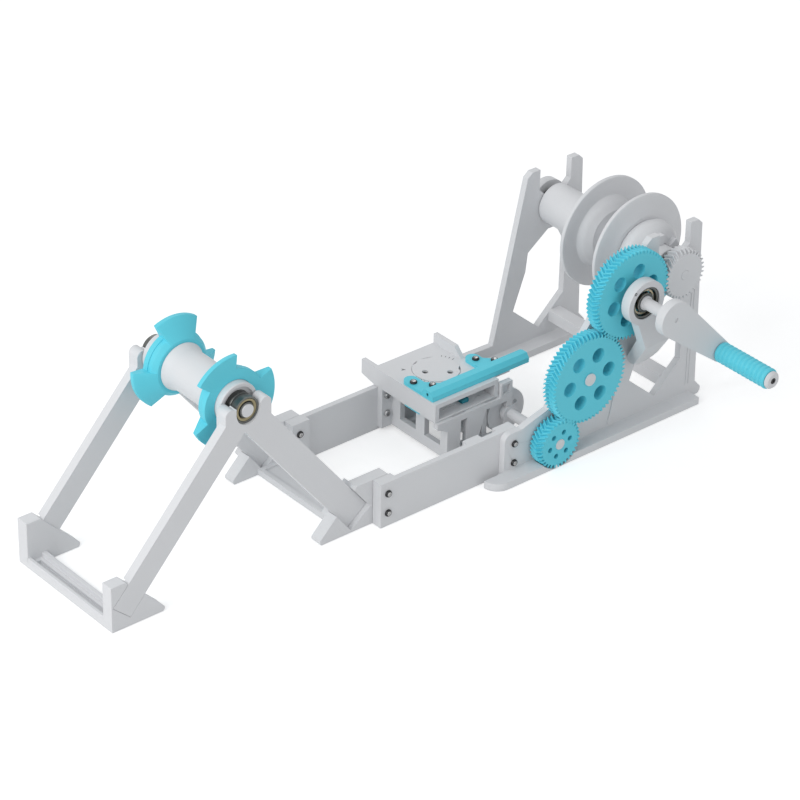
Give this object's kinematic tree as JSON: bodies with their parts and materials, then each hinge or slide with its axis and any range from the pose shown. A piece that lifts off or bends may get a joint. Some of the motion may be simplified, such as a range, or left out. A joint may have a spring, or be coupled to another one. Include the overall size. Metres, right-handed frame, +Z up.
{
  "type": "filament spool winder",
  "caption": "Hand-cranked filament winder: supply roller on a stand, traverse guide, herringbone gears and take-up spool holder.",
  "frame": {"origin": "on the floor, under the flange of the front take-up wall, straight below the take-up axle", "axes": "+X along the part from the supply roller to the take-up end, +Y from the crank side to the rear, +Z up"},
  "size_m": [0.5912, 0.2796, 0.1831],
  "materials": {
    "printed_white": "satin printed plastic",
    "printed_teal": "satin printed plastic",
    "bearing_steel": "ground",
    "screw_steel": "oxide finish"
  },
  "bodies": {
    "stand": {"stand_base": "printed_white", "supply_frame_front": "printed_white", "supply_frame_back": "printed_white", "supply_feet": "printed_white", "cradle_bearing_rings": "bearing_steel", "rail_front": "printed_white", "rail_back": "printed_white", "rail_screws": "screw_steel", "guide_frame": "printed_white", "guide_screws": "screw_steel", "wall_front": "printed_white", "wall_back": "printed_white", "wall_tie": "printed_white", "wall_spacer": "printed_white", "wall_screws": "screw_steel", "wall_bearing_rings": "bearing_steel", "crank_bracket": "printed_white", "crank_bearing_ring": "bearing_steel", "idler_pin": "printed_white"},
    "roller": {"roller_hub": "printed_white", "roller_cone_front": "printed_teal", "roller_cone_back": "printed_teal", "roller_bearings": "bearing_steel", "roller_axle": "printed_white", "roller_axle_cap": "printed_white", "cradle_bearing_cores": "bearing_steel"},
    "crank": {"crank_gear": "printed_teal", "crank_shaft": "printed_white", "crank_bearing_core": "bearing_steel", "crank_arm": "printed_white", "grip_pin": "printed_white", "grip_cap": "printed_white", "crank_screws": "screw_steel"},
    "grip": {"grip": "printed_teal"},
    "takeup": {"takeup_axle": "printed_white", "takeup_core": "printed_white", "takeup_tube": "printed_white", "lock_ring": "printed_white", "flange_rear": "printed_white", "flange_front": "printed_white", "clamp_nut": "printed_white", "axle_gear": "printed_white", "axle_cap": "printed_white", "wall_bearing_cores": "bearing_steel"},
    "idler": {"idler_gear": "printed_teal"},
    "drive": {"drive_gear": "printed_teal", "drive_shaft": "printed_white", "drive_disc": "printed_white"},
    "carriage": {"guide_tray": "printed_white", "guide_bar": "printed_teal", "guide_bar_screws": "screw_steel", "guide_follower": "printed_teal"},
    "dial": {"guide_dial": "printed_white"}
  },
  "joints": [
    {"name": "roller_spin", "type": "hinge", "parent": "stand", "child": "roller", "pos_m": [-0.4144, 0.08845, 0.1444], "axis": [0, 1, 0], "continuous": true},
    {"name": "crank_turn", "type": "hinge", "parent": "stand", "child": "crank", "pos_m": [-0.05748, -0.00725, 0.1332], "axis": [0, 1, 0], "continuous": true},
    {"name": "takeup_turn", "type": "hinge", "parent": "stand", "child": "takeup", "pos_m": [0, 0.08715, 0.1318], "axis": [0, 1, 0], "continuous": true},
    {"name": "idler_turn", "type": "hinge", "parent": "stand", "child": "idler", "pos_m": [-0.10018, -0.00725, 0.07154], "axis": [0, 1, 0], "continuous": true},
    {"name": "drive_turn", "type": "hinge", "parent": "stand", "child": "drive", "pos_m": [-0.12893, -0.00725, 0.02175], "axis": [0, 1, 0], "continuous": true},
    {"name": "grip_spin", "type": "hinge", "parent": "crank", "child": "grip", "pos_m": [-0.00456, -0.11255, 0.08572], "axis": [0, 1, 0], "continuous": true},
    {"name": "carriage_slide", "type": "slide", "parent": "stand", "child": "carriage", "axis": [0, 1, 0], "range_m": [-0.016, 0.016]},
    {"name": "dial_turn", "type": "hinge", "parent": "carriage", "child": "dial", "pos_m": [-0.17012, 0.09825, 0.057], "axis": [0, 0, 1], "range_deg": [-45, 45]}
  ],
  "couplings": [
    {"joint": "takeup_turn", "follows": "crank_turn", "ratio": -1.875},
    {"joint": "idler_turn", "follows": "crank_turn", "ratio": -1},
    {"joint": "drive_turn", "follows": "crank_turn", "ratio": 1.875}
  ]
}
